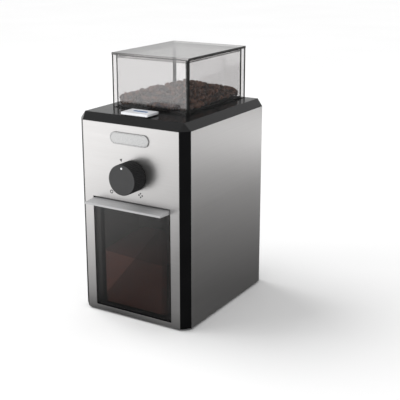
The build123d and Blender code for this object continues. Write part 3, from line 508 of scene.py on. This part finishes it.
class GRINDER_OT_steel(bpy.types.Operator):
    """Make the brushed steel sheets of the front and the sides"""

    bl_idname = "grinder.steel"
    bl_label = "Steel Sheets"

    def execute(self, context):
        low, high = FRONT_SHEET
        gap = sizes().opening_gap
        opening = rectangle(DRAWER[0].x - gap, DRAWER[1].x + gap, DRAWER[0].z - 1.4 * MM,
                            LEDGE[1].z + 1.3 * MM, low.y)
        shaft_hole = ring(KNOB_CENTRE.x, KNOB_CENTRE.z, SHAFT_HOLE, low.y)
        outline = rectangle(low.x, high.x, low.z, high.z, low.y)
        bm = plate([outline, opening, shaft_hole], Vector((0, high.y - low.y, 0)))
        round_edges(bm, sharp_edges(bm), sizes().sheet_edge)
        even_shading(finish_piece("front_sheet", bm, "housing", "brushed_steel", ("front_panel",)))
        for side in ("left", "right"):
            bm = block(*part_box(f"side_panel_{side}"))
            round_edges(bm, sharp_edges(bm), sizes().sheet_edge)
            even_shading(finish_piece(f"side_sheet_{side}", bm, "housing", "brushed_steel",
                                      (f"side_panel_{side}",)))
        return {"FINISHED"}


class GRINDER_OT_casing(bpy.types.Operator):
    """Round the edges of the black frames, the back and the base"""

    bl_idname = "grinder.casing"
    bl_label = "Black Casing"

    def execute(self, context):
        for node in ("front_frame", "rear_frame", "side_frame_left", "side_frame_right",
                     "rear_panel", "base_plate", "cord_inlet", "rubber_feet"):
            refined(node, "housing")
        return {"FINISHED"}


class GRINDER_OT_cover(bpy.types.Operator):
    """Make the bevelled black cover"""

    bl_idname = "grinder.cover"
    bl_label = "Cover"

    def execute(self, context):
        refined("top_cover", "housing", segments=3)
        return {"FINISHED"}


class GRINDER_OT_badge(bpy.types.Operator):
    """Make the blank badge with its raised rim"""

    bl_idname = "grinder.badge"
    bl_label = "Badge"

    def execute(self, context):
        low, high = BADGE
        middle = (low + high) / 2
        half_width = (high.x - low.x) / 2
        half_height = (high.z - low.z) / 2
        loop = stadium(middle.x, middle.z, half_width, half_height, high.y)
        bm = plate([loop], Vector((0, low.y - high.y, 0)))
        face = min(bm.faces, key=lambda f: f.calc_center_median().y)
        round_edges(bm, list(face.edges), 0.3 * MM, 3)
        face = max((f for f in bm.faces if f.normal.y < -0.99), key=lambda f: f.calc_area())
        bmesh.ops.inset_region(bm, faces=[face], thickness=0.7 * MM)
        bmesh.ops.inset_region(bm, faces=[face], thickness=0.25 * MM, depth=-0.3 * MM)
        even_shading(finish_piece("badge", bm, "housing", "badge_metal", ("badge_plate",)))
        return {"FINISHED"}


class GRINDER_OT_dial(bpy.types.Operator):
    """Print the three plain marks round the knob: a wedge, a ring and a few grains"""

    bl_idname = "grinder.dial"
    bl_label = "Dial Marks"

    def execute(self, context):
        thick = Vector((0, -0.06 * MM, 0))
        x, z = KNOB_CENTRE.x, KNOB_CENTRE.z
        wedge = [Vector((x + dx * MM, FRONT_Y, z + dz * MM))
                 for dx, dz in ((-15.4, 14.6), (-13.6, 11.8), (-12.6, 15.4))]
        hoop = [ring(x - 26.2 * MM, z - 19.6 * MM, radius * MM, FRONT_Y, 24) for radius in (1.9, 1.1)]
        marks = {"dial_wedge": [wedge], "dial_ring": hoop}
        for k, (dx, dz) in enumerate(((6.4, -18.2), (8.3, -20.2), (10.2, -18.6), (8.2, -16.6))):
            marks[f"dial_grain_{k}"] = [ring(x + dx * MM, z + dz * MM, 0.85 * MM, FRONT_Y, 12)]
        for name, loops in marks.items():
            finish_piece(name, plate(loops, thick), "housing", "component_black")
        return {"FINISHED"}


# ---- knob and button --------------------------------------------------------
class GRINDER_OT_knob(bpy.types.Operator):
    """Turn the fluted knob and its white dot"""

    bl_idname = "grinder.knob"
    bl_label = "Knob"

    def execute(self, context):
        low, high = KNOB
        radius = (high.x - low.x) / 2
        per_flute = 6
        count = sizes().flutes * per_flute
        back, grip_end = FRONT_Y - 0.6 * MM, low.y + 2.0 * MM
        depth = sizes().flute_depth
        # each step: place along the axis, radius, and how deep the flutes are cut there
        steps = ((grip_end, radius, depth), (grip_end - 0.3 * MM, radius - 0.1 * MM, depth * 0.3),
                 (grip_end - 0.35 * MM, radius - 0.35 * MM, 0), (grip_end - 0.5 * MM, radius - 0.35 * MM, 0),
                 (grip_end - 0.55 * MM, radius - 0.15 * MM, 0), (low.y + 0.45 * MM, radius - 0.15 * MM, 0),
                 (low.y + 0.14 * MM, radius - 0.28 * MM, 0), (low.y, radius - 0.6 * MM, 0))
        bm = bmesh.new()
        bmesh.ops.create_circle(bm, segments=count, radius=radius, cap_ends=True)
        lay_flat = Matrix.Translation((KNOB_CENTRE.x, back, KNOB_CENTRE.z)) @ Matrix.Rotation(pi / 2, 4, "X")
        bmesh.ops.transform(bm, matrix=lay_flat, verts=bm.verts[:])
        face = shape_round(bm.faces[:][0], back, radius, depth, per_flute)
        for y, reach, cut in steps:
            face = bmesh.ops.extrude_discrete_faces(bm, faces=[face])["faces"][0]
            shape_round(face, y, reach, cut, per_flute)
        bmesh.ops.inset_region(bm, faces=[face], thickness=1.1 * MM)
        bmesh.ops.inset_region(bm, faces=[face], thickness=0.3 * MM, depth=-0.1 * MM)
        bmesh.ops.recalc_face_normals(bm, faces=bm.faces[:])
        # faces not turned to the front take the darker copy: painted shade on the knob's sides
        for face in bm.faces:
            face.material_index = 0 if face.normal.y < -0.8 else 1
        even_shading(finish_piece("knob", bm, "selector", "knob_black", ("selector_knob",),
                                  ("knob_black", "knob_side_painted_shade")))
        dot_low, dot_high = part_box("knob_indicator")
        dot = (dot_low + dot_high) / 2
        bm = plate([ring(dot.x, dot.z, (dot_high.x - dot_low.x) / 2, dot_low.y + 0.3 * MM, 32)],
                   Vector((0, -0.3 * MM, 0)))
        front = min(bm.faces, key=lambda f: f.calc_center_median().y)
        round_edges(bm, list(front.edges), 0.15 * MM)
        finish_piece("knob_dot", bm, "selector", "indicator_white", ("knob_indicator",))
        return {"FINISHED"}


def shape_round(face, y, radius, cut, per_flute):
    """Moves a round face to y and gives its rim a radius, less the flutes cut into it."""
    for k, vert in enumerate(face.verts):
        arm = Vector((vert.co.x - KNOB_CENTRE.x, 0, vert.co.z - KNOB_CENTRE.z))
        arm.length = radius - cut * (0.5 - 0.5 * cos(2 * pi * k / per_flute)) ** 1.5
        vert.co = Vector((KNOB_CENTRE.x, y, KNOB_CENTRE.z)) + arm
    return face


class GRINDER_OT_button(bpy.types.Operator):
    """Make the white start button and its blue window"""

    bl_idname = "grinder.button"
    bl_label = "Start Button"

    def execute(self, context):
        refined("start_button", "start_button", segments=3)
        refined("button_window", "start_button", width=0.15 * MM)
        return {"FINISHED"}


# ---- hopper -----------------------------------------------------------------
class GRINDER_OT_hopper(bpy.types.Operator):
    """Make the clear hopper and its lid, their edges painted dark and their side walls in painted shade"""

    bl_idname = "grinder.hopper"
    bl_label = "Hopper"

    def execute(self, context):
        low, high = HOPPER
        outer = rounded_rectangle(low, high, 0, OUTER_CORNER, COVER_TOP)
        inner = rounded_rectangle(low, high, HOPPER_WALL, INNER_CORNER, COVER_TOP)
        bm = plate([outer, inner], Vector((0, 0, high.z - COVER_TOP)))
        for axis, side in enumerate((Vector((1, 0, 0)), Vector((0, 1, 0)))):
            for inset in (CORNER_STRIP, HOPPER_WALL + CORNER_STRIP):
                for place in (low[axis] + inset, high[axis] - inset):
                    bmesh.ops.bisect_plane(bm, geom=bm.verts[:] + bm.edges[:] + bm.faces[:],
                                           plane_co=side * place, plane_no=side)
        for face in bm.faces:
            face.material_index = wall_look(face)
        finish_piece("hopper_walls", bm, "housing", "smoked_clear", ("bean_hopper",),
                     ("smoked_clear", "painted_dark_edge", "hopper_side_painted_shade"))
        lid = refined("hopper_lid", "hopper_lid", width=0.4 * MM, looks=("lid_sheet", "painted_dark_edge"))
        low, high = LID
        # the lid's side edges and roundings take the painted dark edge look
        for face in lid.data.polygons:
            if abs(face.center.x) > high.x - 0.3 * MM:
                face.material_index = 1
            elif face.center.y < low.y + 0.2 * MM and face.normal.y < -0.9:
                face.material_index = 0
        return {"FINISHED"}


def wall_look(face):
    """Which look a hopper face has: 0 front and back, 2 sides in painted shade, 1 corners, rims and corner
    strips painted dark.
    """
    low, high = HOPPER
    along = 1 if abs(face.normal.x) > SQUARE_ON else 0
    across = 1 - along
    if abs(face.normal[across]) < SQUARE_ON:
        return 1
    centre = face.calc_center_median()
    depth = min(centre[across] - low[across], high[across] - centre[across])
    inset = HOPPER_WALL if depth > HOPPER_WALL / 2 else 0
    if min(centre[along] - low[along], high[along] - centre[along]) - inset < CORNER_STRIP:
        return 1
    return 2 * along


def heap_top(x, y):
    """Height of the bean heap above a place."""
    slope = HEAP_RISE if x < HEAP_PEAK.x else HEAP_FALL
    ridge = HEAP_PEAK.z + slope * (x - HEAP_PEAK.x) - HEAP_LEAN * (y - HEAP_PEAK.y)
    back = ridge - HEAP_END * max(0.0, y - HEAP_PEAK.y - HEAP_BRINK)
    return max(back, HEAP_LOWEST)


def bean_places(count, radius):
    """Centres of the beans in the outer layers of the heap, pushed apart until they lie evenly."""
    draw = np.random.default_rng(SEED)
    low = np.array(BEANS[0]) + radius
    high = np.array(BEANS[1]) - radius
    points = []
    while len(points) < count:
        x, y, z = draw.uniform(low, high)
        top = heap_top(x, y) - radius
        depth = min(top - z, x - low[0], high[0] - x, y - low[1], high[1] - y)
        if z < top and depth < BEAN_LAYER:
            points.append((x, y, z))
    points = np.array(points)
    for _ in range(60):
        gap = points[:, None, :] - points[None, :, :]
        far = np.linalg.norm(gap, axis=2) + np.eye(len(points))
        push = np.clip(2 * radius - far, 0, None) * (1 - np.eye(len(points)))
        points = points + (gap / far[..., None] * push[..., None]).sum(1) * 0.25
        points[:, :2] = np.clip(points[:, :2], low[:2], high[:2])
        tops = np.array([heap_top(x, y) for x, y, _ in points]) - radius
        points[:, 2] = np.clip(points[:, 2], low[2], np.maximum(tops, low[2]))
    return points


def one_bean(place, turn, length, tone):
    """A bean: an egg flattened on one side, with a crease along the flat. Gives back its mesh."""
    bm = bmesh.new()
    shade = bm.verts.layers.float.new("bean_shade")
    bmesh.ops.create_uvsphere(bm, u_segments=12, v_segments=8, radius=0.5)
    for vert in bm.verts:
        x, y, z = vert.co
        flat = BEAN_FLAT if z < 0 else 1.0
        groove = 0.10 * max(0.0, 1 - abs(y) / 0.12) if z < -0.02 else 0.0
        vert.co = Vector((x, y * BEAN_BREADTH, z * BEAN_THICKNESS * flat + groove)) * length
        vert[shade] = tone
    bmesh.ops.transform(bm, matrix=Matrix.Translation(place) @ turn, verts=bm.verts[:])
    mesh = bpy.data.meshes.new("bean")
    bm.to_mesh(mesh)
    bm.free()
    return mesh


class GRINDER_OT_beans(bpy.types.Operator):
    """Heap roasted beans in the hopper round a dark core"""

    bl_idname = "grinder.beans"
    bl_label = "Coffee Beans"

    def execute(self, context):
        length = sizes().bean_length
        radius = length * BEAN_REACH
        draw = np.random.default_rng(SEED + 1)
        bm = bmesh.new()
        for place in bean_places(sizes().bean_count, radius):
            near_wall = min(place[0] - BEANS[0].x, BEANS[1].x - place[0],
                            place[1] - BEANS[0].y, BEANS[1].y - place[1]) < radius * 1.4
            axis = Vector(draw.normal(size=3)).normalized()
            turn = Matrix.Rotation(draw.uniform(0, 2 * pi), 4, axis)
            scale = draw.uniform(0.72, 0.86) if near_wall else draw.uniform(0.85, 1.02)
            bean = one_bean(Vector(place), turn, length * scale, draw.uniform(0.2, 0.8))
            bm.from_mesh(bean)
            bpy.data.meshes.remove(bean)
        for vert in bm.verts:
            for axis in range(3):
                vert.co[axis] = min(max(vert.co[axis], BEANS[0][axis]), BEANS[1][axis])
        finish_piece("roasted_beans", bm, "housing", "bean_brown", ("coffee_beans",))
        bm = merged_copy("coffee_beans")
        middle = Matrix.Translation((BEANS[0] + BEANS[1]) / 2)
        shrink = middle @ Matrix.Diagonal((0.9, 0.92, 0.72, 1)) @ middle.inverted()
        bmesh.ops.transform(bm, matrix=shrink, verts=bm.verts[:])
        bmesh.ops.translate(bm, verts=bm.verts[:], vec=(0, 0, -3.4 * MM))
        finish_piece("bean_core", bm, "housing", "bean_brown")
        return {"FINISHED"}


# ---- drawer -----------------------------------------------------------------
class GRINDER_OT_drawer(bpy.types.Operator):
    """Make the smoked drawer, its silver lid with the handle ledge, and the ground coffee"""

    bl_idname = "grinder.drawer"
    bl_label = "Drawer"

    def execute(self, context):
        refined("grounds_container", "drawer", width=0.4 * MM)
        refined("container_lid", "drawer", width=0.45 * MM, segments=3)
        finish_piece("ground_heap", merged_copy("ground_coffee"), "drawer", "ground_brown",
                     ("ground_coffee",))
        return {"FINISHED"}


# ---- stage ------------------------------------------------------------------
def add_light(name, kind, power, aim, place=(0, 0, 0)):
    """A light that mirrors don't show, shining along aim. Gives back its settings."""
    light = bpy.data.lights.new(name, kind)
    light.energy = power
    lamp = bpy.data.objects.new(name, light)
    lamp.location = place
    lamp.rotation_euler = Vector(aim).to_track_quat("-Z", "Y").to_euler()
    lamp.visible_glossy = False
    bpy.context.scene.collection.objects.link(lamp)
    return light


def stage_plane(name, material, size, z):
    """A level square of the stage, reaching size from the middle each way."""
    bm = bmesh.new()
    bmesh.ops.create_grid(bm, x_segments=1, y_segments=1, size=size)
    bmesh.ops.translate(bm, verts=bm.verts[:], vec=(0, 0, z))
    mesh = bpy.data.meshes.new(name)
    bm.to_mesh(mesh)
    bm.free()
    mesh.materials.append(material)
    obj = bpy.data.objects.new(name, mesh)
    bpy.context.scene.collection.objects.link(obj)
    return obj


def paper_floor():
    material, tree, shader = blank_material("paper_floor")
    vary_colour(tree, shader, pattern(tree, 3), (0.93, 0.93, 0.93), 0.01)
    shader.inputs["Roughness"].default_value = 0.9
    shader.inputs["Specular IOR Level"].default_value = 0.1
    return material


def ramp(tree, value, start, end, low=0.0, high=1.0, smooth=True):
    """Carries a value from one range to another, smoothly or in a straight line."""
    limits = {"From Min": start, "From Max": end, "To Min": low, "To Max": high}
    span = add_node(tree, "ShaderNodeMapRange", limits,
                    interpolation_type="SMOOTHSTEP" if smooth else "LINEAR")
    tree.links.new(value, span.inputs["Value"])
    return span.outputs["Result"]


def joined(tree, operation, first, second):
    """Two values put together by a sum or a product."""
    node = add_node(tree, "ShaderNodeMath", operation=operation)
    tree.links.new(first, node.inputs[0])
    tree.links.new(second, node.inputs[1])
    return node.outputs["Value"]


def painted_reflection_glow():
    """Painted reflection: a glowing card, seen only in mirrors, that paints what the lower half of the
    object mirrors.

    To the right it is dark close by, bright further out and dark again beyond; out to the left it
    brightens steadily.
    """
    material, tree, shader = blank_material("painted_reflection_card")
    place = add_node(tree, "ShaderNodeTexCoord")
    split = add_node(tree, "ShaderNodeSeparateXYZ")
    reach = add_node(tree, "ShaderNodeVectorMath", operation="LENGTH")
    tree.links.new(place.outputs["Object"], split.inputs["Vector"])
    tree.links.new(place.outputs["Object"], reach.inputs[0])
    distance, across = reach.outputs["Value"], split.outputs["X"]
    near = joined(tree, "ADD", ramp(tree, distance, 0.10, 0.70, low=0.09, high=0.40, smooth=False),
                  ramp(tree, distance, 0.62, 0.90, high=1.7))
    beyond = ramp(tree, distance, 0.90, 1.05, low=1.0, high=0.15)
    right = joined(tree, "MULTIPLY", joined(tree, "MULTIPLY", near, beyond),
                   ramp(tree, across, -0.08, 0.08))
    left = joined(tree, "ADD", ramp(tree, across, -0.03, -0.46, high=1.6, smooth=False),
                  ramp(tree, split.outputs["Y"], -0.05, -0.13, high=0.22))
    glow = add_node(tree, "ShaderNodeEmission")
    tree.links.new(joined(tree, "ADD", right, left), glow.inputs["Strength"])
    tree.links.new(glow.outputs["Emission"], tree.nodes["Material Output"].inputs["Surface"])
    tree.nodes.remove(shader)
    return material


class GRINDER_OT_stage(bpy.types.Operator):
    """Set up the pale floor, the soft lights and the camera"""

    bl_idname = "grinder.stage"
    bl_label = "Stage"

    def execute(self, context):
        scene = context.scene
        world = bpy.data.worlds.new("studio")
        world.use_nodes = True
        background = world.node_tree.nodes["Background"]
        background.inputs["Color"].default_value = (1, 1, 1, 1)
        background.inputs["Strength"].default_value = SKY
        scene.world = world
        scene.view_settings.view_transform = "Standard"
        stage_plane("floor", paper_floor(), 12, 0)
        # a glowing card seen only in mirrors: it paints the light and dark reflections on the lower steel
        reflection_card = stage_plane("painted_reflection_card", painted_reflection_glow(), 1.6, 0.6 * MM)
        for kind in ("camera", "diffuse", "transmission", "shadow", "volume_scatter"):
            setattr(reflection_card, f"visible_{kind}", False)
        scene.cycles.transparent_max_bounces = 32
        add_light("key", "SUN", SUN, aim=(0.8, 0.0, -1.0)).angle = radians(40)
        window = add_light("window_left", "AREA", 6, aim=(1.1, 0.9, -0.75), place=(-1.1, -0.9, 0.9))
        window.shape = "RECTANGLE"
        window.size, window.size_y = 0.7, 0.9
        camera = bpy.data.cameras.new("camera")
        camera.lens = sizes().lens
        camera.shift_y = EYE_SHIFT
        eye = bpy.data.objects.new("camera", camera)
        eye.location = EYE
        eye.rotation_euler = (radians(EYE_PITCH), 0, radians(EYE_TURN))
        scene.collection.objects.link(eye)
        scene.camera = eye
        return {"FINISHED"}


class GRINDER_PT_panel(bpy.types.Panel):
    bl_idname = "GRINDER_PT_panel"
    bl_label = "Coffee Grinder"
    bl_space_type = "VIEW_3D"
    bl_region_type = "UI"
    bl_category = "Grinder"

    def draw(self, context):
        column = self.layout.column()
        for group in (context.scene.grinder_sizes, context.scene.grinder_colours):
            for key in group.bl_rna.properties.keys():
                if key not in ("name", "rna_type"):
                    column.prop(group, key)
        for step in STEPS:
            column.operator(step.bl_idname)


STEPS = (
    GRINDER_OT_finishes,
    GRINDER_OT_steel,
    GRINDER_OT_casing,
    GRINDER_OT_cover,
    GRINDER_OT_badge,
    GRINDER_OT_dial,
    GRINDER_OT_knob,
    GRINDER_OT_button,
    GRINDER_OT_hopper,
    GRINDER_OT_beans,
    GRINDER_OT_drawer,
    GRINDER_OT_stage,
)
CLASSES = (GrinderSizes, GrinderColours, *STEPS, GRINDER_PT_panel)


def register():
    for cls in CLASSES:
        bpy.utils.register_class(cls)
    bpy.types.Scene.grinder_sizes = bpy.props.PointerProperty(type=GrinderSizes)
    bpy.types.Scene.grinder_colours = bpy.props.PointerProperty(type=GrinderColours)


def unregister():
    del bpy.types.Scene.grinder_colours
    del bpy.types.Scene.grinder_sizes
    for cls in reversed(CLASSES):
        bpy.utils.unregister_class(cls)


def main():
    """Builds every piece and the stage."""
    register()
    for step in STEPS:
        group, action = step.bl_idname.split(".")
        getattr(getattr(bpy.ops, group), action)()


if __name__ == "__main__":
    main()
